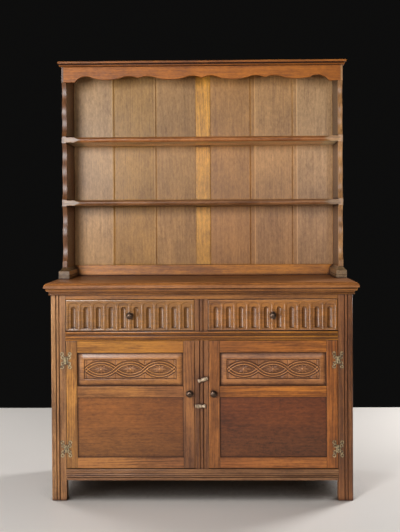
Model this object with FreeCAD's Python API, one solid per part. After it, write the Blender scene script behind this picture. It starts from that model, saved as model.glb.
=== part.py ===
import FreeCAD, Part
import math
import os
from FreeCAD import Vector

# Oak welsh dresser: a base with two drawers over two doors, and a plate rack with two shelves.
# Millimetres, +Z up, the front faces -Y, the origin is on the floor under the middle of the whole.

# Base
top_width = 1220.0
top_depth = 460.0
top_thickness = 21.0
top_mould_width = 14.0
end_overhang = 24.0
front_overhang = 20.0
leg_clear_height = 81.0
bottom_rail_height = 43.0
door_opening_height = 501.0
middle_rail_height = 35.0
drawer_opening_height = 124.0
top_rail_height = 45.0
leg_width = 57.0
leg_depth = 40.0
leg_corner_radius = 5.0
rail_thickness = 22.0
muntin_width = 52.0
groove_width = 5.0
groove_depth = 3.5
leg_outer_groove = 20.0
leg_inner_groove = 32.0
muntin_groove_offset = 7.0
under_mould_height = 27.0
under_mould_projection = 17.0
middle_mould_projection = 8.0
bottom_mould_projection = 6.0
end_rail_thickness = 20.0
end_top_rail_height = 60.0
back_rail_thickness = 18.0
thin_panel_thickness = 6.0
panel_lap = 8.0
tenon_length = 18.0
arris = 1.2
cut_overrun = 2.0
same_point = 0.000001

# Inside the base
floor_thickness = 12.0
shelf_height = 237.0
cupboard_shelf_thickness = 15.0
cupboard_shelf_setback = 60.0
bearer_size = 20.0
bearer_front_gap = 6.0
runner_width = 16.0
runner_height = 20.0
guide_height = 20.0
kicker_height = 20.0

# Drawers
drawer_gap = 1.5
drawer_run_clearance = 0.4
drawer_front_thickness = 20.0
drawer_rear_gap = 27.0
drawer_side_thickness = 10.0
drawer_side_height = 105.0
drawer_bottom_thickness = 5.0
drawer_bottom_rise = 10.0
drawer_groove_depth = 5.0
dovetail_lap = 6.0
dovetail_count = 3
flute_count = 10
flute_margin = 29.5
flute_width = 21.0
flute_height = 84.0
flute_foot = 10.0
flute_depth = 7.5

# Doors
door_gap = 1.5
door_thickness = 20.0
door_stile_width = 43.0
door_top_rail_height = 46.5
door_lock_rail_height = 43.0
door_bottom_rail_height = 43.0
carved_panel_height = 131.0
door_panel_thickness = 9.0
door_panel_setback = 5.0
field_margin = 22.0
field_rise = 3.5
sunk_margin = 27.0
sunk_depth = 3.0
oval_count = 3
oval_overlap = 14.0
oval_end_margin = 2.0
oval_side_margin = 7.5
oval_band = 6.0
oval_boss_radius = 9.0

# Knobs, hinges and turn buttons
knob_diameter = 27.0
knob_length = 26.0
knob_peg_diameter = 9.0
door_knob_inset = 19.0
door_knob_height = 295.0
hinge_height = 66.0
hinge_leaf_width = 22.5
hinge_strip = 4.8
hinge_plate = 1.6
hinge_inset = 78.0
knuckle_radius = 3.5
knuckle_length = 26.0
knuckle_gap = 0.3
pin_radius = 1.5
pin_head_radius = 2.4
pin_head_height = 3.0
running_clearance = 0.05
button_length = 40.0
button_diameter = 15.0
button_short_arm = 12.0
button_standoff = 1.0
button_pivot_offset = 13.0
button_tilt = 17.0
upper_button_height = 351.0
lower_button_height = 246.0
screw_radius = 2.0
screw_head_radius = 4.0
screw_head_height = 2.0
screw_depth = 14.0

# Plate rack
rack_end_inset = 28.0
rack_depth = 205.0
rack_side_thickness = 18.0
side_strip = 8.0
side_scoop_depth = 16.0
side_bump_depth = 8.0
side_step = 4.0
pad_height = 27.0
foot_outer = 10.0
foot_inner = 15.0
foot_lead = 34.0
foot_slab_height = 13.0
foot_quirk = 2.0
foot_block_height = 18.0
foot_shoulder_height = 14.0
rack_shelf_thickness = 22.0
lower_shelf_rise = 304.0
upper_shelf_rise = 566.0
shelf_flat_end = 73.0
shelf_point_length = 33.0
plate_groove_width = 8.0
plate_groove_depth = 3.0
plate_groove_inset = 45.0
frieze_height = 63.0
frieze_thickness = 14.0
frieze_end_width = 56.0
frieze_rise = 879.0
rack_top_thickness = 21.0
rack_top_overhang = 14.0
back_board_thickness = 9.0
back_board_lap = 9.0
board_vee = 2.5
back_muntin_width = 63.0
back_muntin_lip = 4.0
back_rail_height = 47.0
boards_per_half = 3

# Shares of a moulding's projection and height, from the underside up: one pair for a line, two for an arc
thumb_shares = [[(0.0, 0.24)], [(0.26, 0.72), (1.0, 0.88)], [(1.0, 1.0)]]
under_mould_shares = [[(0.55, 0.11), (0.64, 0.26)], [(0.64, 0.32)], [(0.52, 0.48), (0.2, 0.56)], [(0.12, 0.56)],
                      [(0.12, 0.66)], [(0.0, 0.83), (0.12, 1.0)]]
middle_mould_shares = [[(0.7, 0.0)], [(0.7, 0.07)], [(0.95, 0.1)], [(0.95, 0.26)], [(0.35, 0.4), (0.85, 0.53)],
                       [(0.9, 0.56)], [(0.72, 0.74), (0.12, 0.8)], [(0.0, 0.89), (0.12, 0.98)], [(1.0, 1.0)]]
bottom_mould_shares = [[(0.1, 0.0)], [(0.0, 0.03)], [(0.0, 0.24)], [(0.6, 0.27)], [(0.1, 0.34), (0.6, 0.42)],
                       [(0.25, 0.5), (0.7, 0.58)], [(0.55, 0.6)], [(0.55, 0.84)], [(0.2, 0.92), (0.9, 1.0)]]
cornice_shares = [[(0.85, 0.06)], [(0.4, 0.27), (0.62, 0.48)], [(0.62, 0.55)], [(0.0, 0.6)],
                  [(0.0, 0.92)], [(0.05, 0.98), (0.3, 1.0)]]
# Shares of a knob's radius and length, from its foot outwards
knob_shares = [[(0.6, 0.0)], [(0.6, 0.1)], [(0.36, 0.24), (0.52, 0.4)], [(1.0, 0.7), (0.62, 0.93)],
               [(0.4, 0.985), (0.14, 1.0)], [(0.0, 1.0)]]
# Shares of a turn button's radius and length, from one end to the other
button_shares = [[(0.7, 0.0)], [(0.92, 0.05), (0.84, 0.1)], [(0.6, 0.125)], [(0.64, 0.145)], [(0.95, 0.18)],
                 [(1.0, 0.38), (0.95, 0.58)], [(0.6, 0.65)], [(0.64, 0.7)], [(0.88, 0.84)],
                 [(0.9, 0.96), (0.66, 1.0)], [(0.0, 1.0)]]
# Shares of a hinge leaf's width and half height for the curls up its edge, and of its height for their radii
curl_shares = [(0.56, 0.364), (0.676, 0.78)]
curl_radius_share = 0.109
curl_eye_share = 0.054
# Shares of a bay's height for the turning points of the shaped side
scoop_share = 0.2
turn_share = 0.36
bump_share = 0.5
# Shares of the frieze's wave: along its pitch, and down its height from the top
crest_share = 0.155
roll_share = 0.28
belly_share = 0.49
cusp_drop_share = 0.759
crest_drop_share = 0.618
roll_drop_share = 0.74
belly_drop_share = 0.857
tenon_inset_share = 0.3
muntin_tenon_share = 0.4
dovetail_root_share = 0.3
dovetail_tip_share = 0.38

# Levels and planes worked out from the sizes above
bottom_rail_z = (leg_clear_height, leg_clear_height + bottom_rail_height)
door_opening_z = (bottom_rail_z[1], bottom_rail_z[1] + door_opening_height)
middle_rail_z = (door_opening_z[1], door_opening_z[1] + middle_rail_height)
drawer_opening_z = (middle_rail_z[1], middle_rail_z[1] + drawer_opening_height)
top_rail_z = (drawer_opening_z[1], drawer_opening_z[1] + top_rail_height)
leg_height = top_rail_z[1]
base_height = leg_height + top_thickness
knob_lead = max(knob_length - front_overhang, 0)
overall_depth = top_depth + knob_lead
top_front = knob_lead - overall_depth / 2
back = overall_depth / 2
front = top_front + front_overhang
carcass_half = top_width / 2 - end_overhang
leg_inner = carcass_half - leg_width
muntin_half = muntin_width / 2
rail_back = front + rail_thickness
rear_leg_front = back - leg_depth
back_rail_front = back - back_rail_thickness
rack_half = top_width / 2 - rack_end_inset
rack_inner = rack_half - rack_side_thickness
rack_front = back - rack_depth
board_front = back - back_board_thickness
shelf_half = rack_half - side_strip
frieze_z = (base_height + frieze_rise - frieze_height, base_height + frieze_rise)
hinge_x = leg_inner - door_gap / 2
hinge_y = front - knuckle_radius - knuckle_gap


def block(x, y, z):
    return Part.makeBox(x[1] - x[0], y[1] - y[0], z[1] - z[0], Vector(x[0], y[0], z[0]))


def mirrored(shape):
    return shape.mirror(Vector(0, 0, 0), Vector(1, 0, 0))


def bare(shape):
    return shape.removeSplitter()


def outline(place, start, steps):
    # a step is one flat point for a line, or two for an arc through the first to the second
    edges = []
    here = place(start)
    first = here
    for step in steps:
        points = [place(point) for point in step]
        if len(points) == 1:
            edges.append(Part.makeLine(here, points[0]))
        else:
            edges.append(Part.Arc(here, points[0], points[1]).toShape())
        here = points[-1]
    if not here.isEqual(first, same_point):
        edges.append(Part.makeLine(here, first))
    return Part.Face(Part.Wire(edges))


def along_x(x, start, steps):
    face = outline(lambda p: Vector(x[0], p[0], p[1]), start, steps)
    return face.extrude(Vector(x[1] - x[0], 0, 0))


def along_y(y, start, steps):
    face = outline(lambda p: Vector(p[0], y[0], p[1]), start, steps)
    return face.extrude(Vector(0, y[1] - y[0], 0))


def along_z(z, start, steps):
    face = outline(lambda p: Vector(p[0], p[1], z[0]), start, steps)
    return face.extrude(Vector(0, 0, z[1] - z[0]))


def turned(centre, way, length, radius, start, steps):
    # profile pairs are shares of the radius and of the length along the way
    side = Vector(0, 0, 1)
    place = lambda p: centre + side * (p[0] * radius) + way * (p[1] * length)
    return outline(place, start, steps).revolve(centre, way, 360)


def rod(centre, way, length, radius):
    return Part.makeCylinder(radius, length, centre, way)


def fitted(steps, edge, run, low, height):
    # places shares of a moulding: the inset grows from the edge along run, the height from low
    return [[(edge + p[0] * run, low + p[1] * height) for p in step] for step in steps]


def moulded_board(half, edge_y, back_y, z, projection, steps, start_share):
    # the same moulding on the front and both ends, mitred where they meet
    height = z[1] - z[0]
    start = (edge_y + start_share * projection, z[0])
    front_form = along_x((-half, half), start,
                         fitted(steps, edge_y, projection, z[0], height) + [[(back_y, z[1])], [(back_y, z[0])]])
    start = (-half + start_share * projection, z[0])
    end_form = along_y((edge_y, back_y), start,
                       fitted(steps, -half, projection, z[0], height) + [[(half, z[1])], [(half, z[0])]])
    return front_form.common(end_form).common(mirrored(end_form))


def member(x, y, z, axis, reach):
    # a bar with a stub tenon at both ends
    spans = [x, y, z]
    tongue = []
    for place, (low, high) in enumerate(spans):
        inset = -reach if place == axis else (high - low) * tenon_inset_share
        tongue.append((low + inset, high - inset))
    return block(x, y, z).fuse(block(*tongue))


def eased(shape, plane_y):
    # takes the sharp arris off the edges that lie in a front plane
    edges = [edge for edge in shape.Edges if all(abs(v.Y - plane_y) < arris / 10 for v in edge.Vertexes)]
    return shape.makeChamfer(arris, edges)


def vee(x, y, z):
    # a groove with its mouth on the plane y, running up z
    start = (x - groove_width / 2, y)
    return along_z(z, start, [[(x, y + groove_depth)], [(x + groove_width / 2, y)]])


def moulded_rail(z, projection, steps):
    # a front rail whose moulding stands before the carcass and is rounded back at its ends
    profile = fitted(steps, front - projection, projection, z[0], z[1] - z[0])
    form = along_x((-leg_inner, leg_inner), (front, z[0]), profile + [[(rail_back, z[1])], [(rail_back, z[0])]])
    nose = front - projection
    bend = projection / 2 ** 0.5
    corner = (leg_inner - projection + bend, front - bend)
    plan = along_z(z, (-leg_inner, rail_back),
                   [[(-leg_inner, front)], [(-corner[0], corner[1]), (projection - leg_inner, nose)],
                    [(leg_inner - projection, nose)], [corner, (leg_inner, front)], [(leg_inner, rail_back)]])
    tongue = member((-leg_inner, leg_inner), (front, rail_back), z, 0, tenon_length)
    return form.common(plan).fuse(tongue)


def knob(x, z, depth):
    centre = Vector(x, front, z)
    head = turned(centre, Vector(0, -1, 0), knob_length, knob_diameter / 2, (0, 0), knob_shares)
    peg = rod(centre, Vector(0, 1, 0), depth, knob_peg_diameter / 2)
    return bare(head.fuse(peg))


# Base carcass
pieces = {}
pieces["top_board"] = moulded_board(top_width / 2, top_front, back, (leg_height, base_height),
                                    top_mould_width, thumb_shares, 0)
rails = {
    "top_rail": eased(member((-leg_inner, leg_inner), (front, rail_back), top_rail_z, 0, tenon_length), front),
    "middle_rail": moulded_rail(middle_rail_z, middle_mould_projection, middle_mould_shares),
    "bottom_rail": moulded_rail(bottom_rail_z, bottom_mould_projection, bottom_mould_shares),
}
muntins = {}
muntin_reach = middle_rail_height * muntin_tenon_share
for name, z in (("drawer_muntin", drawer_opening_z), ("door_muntin", door_opening_z)):
    muntin = member((-muntin_half, muntin_half), (front, rail_back), z, 2, muntin_reach)
    for offset in (-muntin_groove_offset, muntin_groove_offset):
        muntin = muntin.cut(vee(offset, front, z))
    muntins[name] = muntin
for name in rails:
    rails[name] = rails[name].cut(Part.makeCompound(list(muntins.values())))

# Left and right ends
end_x = (-carcass_half, -carcass_half + end_rail_thickness)
end_y = (front + leg_depth, rear_leg_front)
end_rail_levels = [(leg_height - end_top_rail_height, leg_height), bottom_rail_z]
end_rails = [member(end_x, end_y, z, 1, tenon_length) for z in end_rail_levels]
end_middle = sum(end_x) / 2
end_panel = block((end_middle - thin_panel_thickness / 2, end_middle + thin_panel_thickness / 2),
                  (end_y[0] - panel_lap, end_y[1] + panel_lap),
                  (bottom_rail_z[1] - panel_lap, leg_height - end_top_rail_height + panel_lap))

# Back of the base
back_levels = [top_rail_z, middle_rail_z, bottom_rail_z]
back_rails = [member((-leg_inner, leg_inner), (back_rail_front, back), z, 0, tenon_length) for z in back_levels]
back_middle = (back_rail_front + back) / 2
back_panel_y = (back_middle - thin_panel_thickness / 2, back_middle + thin_panel_thickness / 2)
back_panel_x = (-leg_inner - panel_lap, leg_inner + panel_lap)
back_panels = [block(back_panel_x, back_panel_y, (low - panel_lap, high + panel_lap))
               for low, high in ((bottom_rail_z[1], middle_rail_z[0]), (middle_rail_z[1], top_rail_z[0]))]

# Legs, with the mortises and grooves that the rails and panels leave in them
grooves = [vee(-carcass_half + place, front, (0, leg_height)) for place in (leg_outer_groove, leg_inner_groove)]
bend = leg_corner_radius * (1 - 0.5 ** 0.5)
front_leg = along_z((0, leg_height), (-carcass_half, front + leg_depth),
                    [[(-carcass_half, front + leg_corner_radius)],
                     [(-carcass_half + bend, front + bend), (-carcass_half + leg_corner_radius, front)],
                     [(-leg_inner, front)], [(-leg_inner, front + leg_depth)]])
rear_leg = block((-carcass_half, -leg_inner), (rear_leg_front, back), (0, leg_height))
let_in = Part.makeCompound(list(rails.values()) + end_rails + [end_panel] + back_rails + back_panels)
front_leg = front_leg.cut(Part.makeCompound(grooves)).cut(let_in)
rear_leg = rear_leg.cut(let_in)
end_rails = [rail.cut(end_panel) for rail in end_rails]
back_rails = [rail.cut(Part.makeCompound(back_panels)) for rail in back_rails]
legs = Part.makeCompound([front_leg, rear_leg, mirrored(front_leg), mirrored(rear_leg)])

# Cupboard floor in rebates of the rails round it, notched round the legs
floor_z = (bottom_rail_z[1] - floor_thickness, bottom_rail_z[1])
floor_half = carcass_half - end_rail_thickness + panel_lap
floor = block((-floor_half, floor_half), (rail_back - panel_lap, back_rail_front + panel_lap), floor_z)
round_floor = [end_panel, mirrored(end_panel), muntins["door_muntin"]] + back_panels
floor = floor.cut(legs).cut(Part.makeCompound(round_floor))
rails["bottom_rail"] = rails["bottom_rail"].cut(floor)
end_rails[1] = end_rails[1].cut(floor)
back_rails[2] = back_rails[2].cut(floor)

pieces["front_leg_left"] = front_leg
pieces["front_leg_right"] = mirrored(front_leg)
pieces["rear_leg_left"] = rear_leg
pieces["rear_leg_right"] = mirrored(rear_leg)
pieces.update(rails)
pieces.update(muntins)
pieces["end_rails_left"] = Part.makeCompound(end_rails)
pieces["end_rails_right"] = mirrored(Part.makeCompound(end_rails))
pieces["end_panel_left"] = end_panel
pieces["end_panel_right"] = mirrored(end_panel)
pieces["back_rails"] = Part.makeCompound(back_rails)
pieces["back_panels"] = Part.makeCompound(back_panels)
pieces["cupboard_floor"] = floor

# Shelf in the cupboard, on bearers fixed to the legs
bearer_top = bottom_rail_z[1] + shelf_height
bearer_y = (front + door_thickness + bearer_front_gap, back_rail_front)
bearer = block((-leg_inner, -leg_inner + bearer_size), bearer_y, (bearer_top - bearer_size, bearer_top))
pieces["shelf_bearers"] = Part.makeCompound([bearer, mirrored(bearer)])
pieces["cupboard_shelf"] = block((-leg_inner, leg_inner), (front + cupboard_shelf_setback, back_rail_front),
                                 (bearer_top, bearer_top + cupboard_shelf_thickness))

# Drawer runners, centre guide and kicker
runner_z = (middle_rail_z[1] - runner_height, middle_rail_z[1])
runner_y = (rail_back, back_rail_front)
runner = block((-leg_inner, -leg_inner + runner_width), runner_y, runner_z)
centre_half = muntin_half + runner_width
centre_runner = block((-centre_half, centre_half), runner_y, runner_z)
guide = block((-muntin_half, muntin_half), runner_y, (runner_z[1], runner_z[1] + guide_height))
pieces["side_runners"] = Part.makeCompound([runner, mirrored(runner)])
pieces["centre_runner"] = Part.makeCompound([centre_runner, guide])
pieces["drawer_kicker"] = block((-centre_half, centre_half), runner_y,
                                (top_rail_z[0], top_rail_z[0] + kicker_height))

# Moulding under the top, three lengths mitred round the carcass
under_z = (leg_height - under_mould_height, leg_height)
under_half = carcass_half + under_mould_projection
under_front = front - under_mould_projection
ring = moulded_board(under_half, under_front, back, under_z, under_mould_projection, under_mould_shares, 1)
ring = ring.cut(block((-carcass_half, carcass_half), (front, back + cut_overrun), under_z))
ring = ring.cut(legs)
mitre = along_z(under_z, (-under_half, under_front),
                [[(under_half, under_front)], [(carcass_half, front)], [(-carcass_half, front)]])
end_strips = ring.cut(mitre)
pieces["under_top_moulding"] = Part.makeCompound(ring.common(mitre).Solids + end_strips.Solids)


def drawer():
    # the left drawer: a carved front, sides let into it with lapped dovetails, a back and a bottom
    x = (-leg_inner + drawer_gap, -muntin_half - drawer_gap)
    face_z = (drawer_opening_z[0] + drawer_gap, drawer_opening_z[1] - drawer_gap)
    face_back = front + drawer_front_thickness
    box_z = (drawer_opening_z[0] + drawer_run_clearance,
             drawer_opening_z[0] + drawer_run_clearance + drawer_side_height)
    box_back = back_rail_front - drawer_rear_gap
    bottom_z = (box_z[0] + drawer_bottom_rise, box_z[0] + drawer_bottom_rise + drawer_bottom_thickness)
    middle_x = sum(x) / 2
    middle_z = sum(face_z) / 2
    face = eased(block(x, (front, face_back), face_z), front)
    radius = (flute_width ** 2 / 4 + flute_depth ** 2) / (2 * flute_depth)
    flute_y = front + flute_depth - radius
    flute_z = face_z[0] + flute_foot
    run = flute_height - flute_width / 2
    flute_pitch = (x[1] - x[0] - 2 * flute_margin) / (flute_count - 1)
    cutters = []
    for count in range(flute_count):
        flute_x = x[0] + flute_margin + count * flute_pitch
        cutters.append(rod(Vector(flute_x, flute_y, flute_z), Vector(0, 0, 1), run, radius))
        cutters.append(Part.makeSphere(radius, Vector(flute_x, flute_y, flute_z + run), Vector(0, 0, 1), 0, 90))
    face = face.cut(cutters[0].multiFuse(cutters[1:]))
    pitch = drawer_side_height / dovetail_count
    sides = []
    for side_x in ((x[0], x[0] + drawer_side_thickness), (x[1] - drawer_side_thickness, x[1])):
        side = block(side_x, (face_back, box_back), box_z)
        for count in range(dovetail_count):
            level = box_z[0] + (count + 0.5) * pitch
            root = pitch * dovetail_root_share
            tip = pitch * dovetail_tip_share
            tail = along_x(side_x, (face_back, level - root),
                           [[(front + dovetail_lap, level - tip)], [(front + dovetail_lap, level + tip)],
                            [(face_back, level + root)]])
            side = side.fuse(tail)
        sides.append(bare(side))
    inner = (x[0] + drawer_side_thickness, x[1] - drawer_side_thickness)
    rear = block(inner, (box_back - drawer_side_thickness, box_back), (bottom_z[1], box_z[1]))
    bottom = block((inner[0] - drawer_groove_depth, inner[1] + drawer_groove_depth),
                   (face_back - drawer_groove_depth, box_back), bottom_z)
    sides = [side.cut(bottom) for side in sides]
    pull = knob(middle_x, middle_z, drawer_front_thickness)
    face = face.cut(Part.makeCompound(sides + [bottom, pull]))
    return {"drawer_front": face, "drawer_sides_and_back": Part.makeCompound(sides + [rear]),
            "drawer_bottom": bottom, "drawer_knob": pull}


def lens(x, z, width, height, y):
    # a pointed oval: two arcs that meet in points at its ends
    return along_y(y, (x - width / 2, z), [[(x, z + height / 2), (x + width / 2, z)],
                                           [(x, z - height / 2), (x - width / 2, z)]])


def fielded_panel(x, z, field):
    # a panel with its tongue in the frame's grooves, and a bevelled field where the margin is not zero
    tongue_front = front + door_panel_setback + field
    panel_back = front + door_panel_setback + door_panel_thickness
    tongue = block((x[0] - panel_lap, x[1] + panel_lap), (tongue_front, panel_back),
                   (z[0] - panel_lap, z[1] + panel_lap))
    if not field:
        return tongue
    rims = []
    for inset, y in ((0, tongue_front), (field_margin, tongue_front - field)):
        corners = [(x[0] + inset, z[0] + inset), (x[1] - inset, z[0] + inset),
                   (x[1] - inset, z[1] - inset), (x[0] + inset, z[1] - inset)]
        rims.append(Part.makePolygon([Vector(cx, y, cz) for cx, cz in corners + corners[:1]]))
    return tongue.fuse(Part.makeLoft(rims, True, True))


def carved_panel(x, z):
    panel = fielded_panel(x, z, field_rise)
    face_y = front + door_panel_setback
    sunk_x = (x[0] + sunk_margin, x[1] - sunk_margin)
    sunk_z = (z[0] + sunk_margin, z[1] - sunk_margin)
    sunk_y = (face_y, face_y + sunk_depth)
    sunk = block(sunk_x, sunk_y, sunk_z)
    middle_z = sum(sunk_z) / 2
    oval_pitch = (sunk_x[1] - sunk_x[0] - oval_overlap - 2 * oval_end_margin) / oval_count
    oval_width = oval_pitch + oval_overlap
    oval_height = sunk_z[1] - sunk_z[0] - 2 * oval_side_margin
    # the band is as wide along the arcs as it is at the crossing points
    tip_angle = 2 * math.atan(oval_height / oval_width)
    tip_inset = oval_band / math.sin(tip_angle)
    carving = []
    for count in range(oval_count):
        oval_x = sunk_x[0] + oval_end_margin + oval_width / 2 + count * oval_pitch
        ring = lens(oval_x, middle_z, oval_width, oval_height, sunk_y)
        hole = lens(oval_x, middle_z, oval_width - 2 * tip_inset, oval_height - 2 * oval_band, sunk_y)
        carving.append(ring.cut(hole))
        carving.append(rod(Vector(oval_x, sunk_y[0], middle_z), Vector(0, 1, 0), sunk_depth, oval_boss_radius))
    carving = bare(carving[0].multiFuse(carving[1:]))
    return panel.cut(sunk.cut(carving))


def door():
    # the left door, hung on its left edge
    x = (-leg_inner + door_gap, -muntin_half - door_gap)
    z = (door_opening_z[0] + door_gap, door_opening_z[1] - door_gap)
    y = (front, front + door_thickness)
    inner = (x[0] + door_stile_width, x[1] - door_stile_width)
    top_z = (z[1] - door_top_rail_height, z[1])
    carved_z = (top_z[0] - carved_panel_height, top_z[0])
    lock_z = (carved_z[0] - door_lock_rail_height, carved_z[0])
    bottom_z = (z[0], z[0] + door_bottom_rail_height)
    plain_z = (bottom_z[1], lock_z[0])
    door_rails = [eased(member(inner, y, level, 0, tenon_length), front) for level in (top_z, lock_z, bottom_z)]
    stiles = [eased(block((x[0], inner[0]), y, z), front), eased(block((inner[1], x[1]), y, z), front)]
    carved = carved_panel(inner, carved_z)
    plain = fielded_panel(inner, plain_z, 0)
    pull = knob(x[1] - door_knob_inset, door_opening_z[0] + door_knob_height, door_thickness)
    held = Part.makeCompound([carved, plain])
    door_rails = [rail.cut(held) for rail in door_rails]
    stiles = [stile.cut(Part.makeCompound(door_rails + [carved, plain, pull])) for stile in stiles]
    door_rails = [rail.cut(pull) for rail in door_rails]
    return {"door_stiles": Part.makeCompound(stiles), "door_rails": Part.makeCompound(door_rails),
            "door_carved_panel": carved, "door_plain_panel": plain, "door_knob": pull}


def hinge_leaf(z, way, barrels):
    # one pierced leaf of the left door's hinge, a strip at the knuckles with four ring curls up its edge;
    # way is -1 for the leg's leaf and 1 for the door's
    half = hinge_height / 2
    reach = knuckle_radius + knuckle_gap
    strip_x = sorted((hinge_x_left + way * reach, hinge_x_left + way * (reach + hinge_strip)))
    plate = block(strip_x, (front - hinge_plate, front), (z - knuckle_length / 2, z + knuckle_length / 2))
    outward = Vector(0, -1, 0)
    curls = []
    eyes = []
    for px, pz in curl_shares:
        for up in (-1, 1):
            centre = Vector(hinge_x_left + way * px * hinge_leaf_width, front, z + up * pz * half)
            curls.append(rod(centre, outward, hinge_plate, curl_radius_share * hinge_height))
            eyes.append(rod(centre, outward, hinge_plate, curl_eye_share * hinge_height))
    plate = plate.multiFuse(curls).cut(Part.makeCompound(eyes))
    edge = sorted((hinge_x_left, hinge_x_left + way * (reach + hinge_plate)))
    for low, high in barrels:
        span = (z + low, z + high)
        axis = Vector(hinge_x_left, hinge_y, span[0])
        barrel = rod(axis, Vector(0, 0, 1), high - low, knuckle_radius)
        web = block(edge, (front - hinge_plate - knuckle_gap, front - knuckle_gap), span)
        barrel = barrel.fuse(web)
        bore = rod(axis, Vector(0, 0, 1), high - low, pin_radius + running_clearance)
        plate = plate.fuse(barrel.cut(bore))
    return bare(plate)


hinge_x_left = -hinge_x
third = knuckle_length / 3
door_barrels = [(-third / 2, third / 2)]
leg_barrels = [(-knuckle_length / 2, -third / 2 - knuckle_gap), (third / 2 + knuckle_gap, knuckle_length / 2)]
hinge_levels = (door_opening_z[0] + hinge_inset, door_opening_z[1] - hinge_inset)
leg_leaves = [hinge_leaf(z, -1, leg_barrels) for z in hinge_levels]
door_leaves = [hinge_leaf(z, 1, door_barrels) for z in hinge_levels]
pins = []
for z in hinge_levels:
    foot = Vector(hinge_x_left, hinge_y, z - knuckle_length / 2)
    top = Vector(hinge_x_left, hinge_y, z + knuckle_length / 2)
    pin = rod(foot, Vector(0, 0, 1), knuckle_length, pin_radius)
    pins.append(bare(pin.fuse(Part.makeCone(pin_head_radius, pin_radius, pin_head_height, top))))
pieces["hinge_leg_leaves"] = Part.makeCompound(leg_leaves + [mirrored(leaf) for leaf in leg_leaves])
pieces["hinge_pins"] = Part.makeCompound(pins + [mirrored(pin) for pin in pins])

left_door = door()
left_door["door_hinge_leaves"] = Part.makeCompound(door_leaves)
left_drawer = drawer()
for name, shape in list(left_drawer.items()) + list(left_door.items()):
    pieces["left_" + name] = shape
    pieces["right_" + name] = mirrored(shape)


def turn_button(x, z, way, tilt):
    # a turned bar on a screw near one end; the long arm points along way, and tilt lifts the right-hand end
    y = front - button_standoff - button_diameter / 2
    pivot = Vector(x, front, z)
    tail = Vector(x - way * button_short_arm, y, z)
    bar = turned(tail, Vector(way, 0, 0), button_length, button_diameter / 2, (0, 0), button_shares)
    collar = rod(pivot, Vector(0, -1, 0), button_standoff + button_diameter / 2, screw_head_radius)
    bore = rod(pivot, Vector(0, -1, 0), button_standoff + button_diameter + cut_overrun,
               screw_radius + running_clearance)
    head_y = front - button_standoff - button_diameter
    seat = rod(Vector(x, head_y - cut_overrun, z), Vector(0, 1, 0), cut_overrun + screw_head_height,
               screw_head_radius + running_clearance)
    bar = bar.fuse(collar).cut(bore).cut(seat)
    bar.rotate(pivot, Vector(0, -1, 0), tilt)
    shank_top = head_y + screw_head_height - running_clearance
    shank = rod(Vector(x, shank_top, z), Vector(0, 1, 0), front - shank_top + screw_depth, screw_radius)
    head = rod(Vector(x, head_y, z), Vector(0, 1, 0), screw_head_height - running_clearance, screw_head_radius)
    return bare(bar), bare(shank.fuse(head))


upper_button_z = door_opening_z[0] + upper_button_height
lower_button_z = door_opening_z[0] + lower_button_height
upper_button, upper_screw = turn_button(button_pivot_offset, upper_button_z, -1, button_tilt)
lower_button, lower_screw = turn_button(-button_pivot_offset, lower_button_z, 1, 0)
pieces["upper_turn_button"] = upper_button
pieces["lower_turn_button"] = lower_button
pieces["turn_button_screws"] = Part.makeCompound([upper_screw, lower_screw])
pieces["door_muntin"] = pieces["door_muntin"].cut(pieces["turn_button_screws"])

# Plate rack: moulded top, wavy frieze, shelves
pieces["rack_top"] = moulded_board(rack_half + rack_top_overhang, rack_front - rack_top_overhang, back,
                                   (frieze_z[1], frieze_z[1] + rack_top_thickness),
                                   rack_top_overhang, cornice_shares, 1)
wave_half = shelf_half - frieze_end_width + side_strip
wave_pitch = wave_half / 2


def wave(start_x, pitch, last_z):
    # one wave from cusp to cusp: a crest, a belly, a crest
    level = lambda share: frieze_z[1] - share * frieze_height
    roll = level(roll_drop_share)
    return [[(start_x + crest_share * pitch, level(crest_drop_share)), (start_x + roll_share * pitch, roll)],
            [(start_x + belly_share * pitch, level(belly_drop_share)),
             (start_x + (1 - roll_share) * pitch, roll)],
            [(start_x + (1 - crest_share) * pitch, level(crest_drop_share)), (start_x + pitch, last_z)]]


cusp_z = frieze_z[1] - cusp_drop_share * frieze_height
half_frieze = along_y((rack_front, rack_front + frieze_thickness), (0, cusp_z),
                      wave(0, wave_pitch, cusp_z) + wave(wave_pitch, wave_pitch, frieze_z[0])
                      + [[(shelf_half, frieze_z[0])], [(shelf_half, frieze_z[1])], [(0, frieze_z[1])]])
frieze = bare(half_frieze.fuse(mirrored(half_frieze)))
pieces["frieze"] = frieze

# Back of the rack: a bottom rail, a centre muntin, and three vee-jointed boards on each side
rack_rail = block((-rack_inner, rack_inner), (board_front - back_board_lap, back),
                  (base_height, base_height + back_rail_height))
boards_z = (base_height + back_rail_height - back_board_lap, frieze_z[1])
board_x = (-rack_inner - back_board_lap, -back_muntin_width / 2 + back_board_lap)
board_width = (board_x[1] - board_x[0]) / boards_per_half
boards = []
for count in range(boards_per_half):
    low = board_x[0] + count * board_width
    high = low + board_width
    boards.append(along_z(boards_z, (low, back),
                          [[(low, board_front + board_vee)], [(low + board_vee, board_front)],
                           [(high - board_vee, board_front)], [(high, board_front + board_vee)],
                           [(high, back)]]))
back_muntin_half = back_muntin_width / 2
back_muntin = block((-back_muntin_half, back_muntin_half), (board_front - back_muntin_lip, back), boards_z)
back_muntin = eased(back_muntin, board_front - back_muntin_lip)
all_boards = Part.makeCompound(boards + [mirrored(board) for board in boards])
back_muntin = back_muntin.cut(all_boards)
rack_rail = eased(rack_rail, board_front - back_board_lap).cut(all_boards).cut(back_muntin)
pieces["back_boards_left"] = Part.makeCompound(boards)
pieces["back_boards_right"] = mirrored(Part.makeCompound(boards))
pieces["back_muntin"] = back_muntin
pieces["rack_back_rail"] = rack_rail


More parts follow.
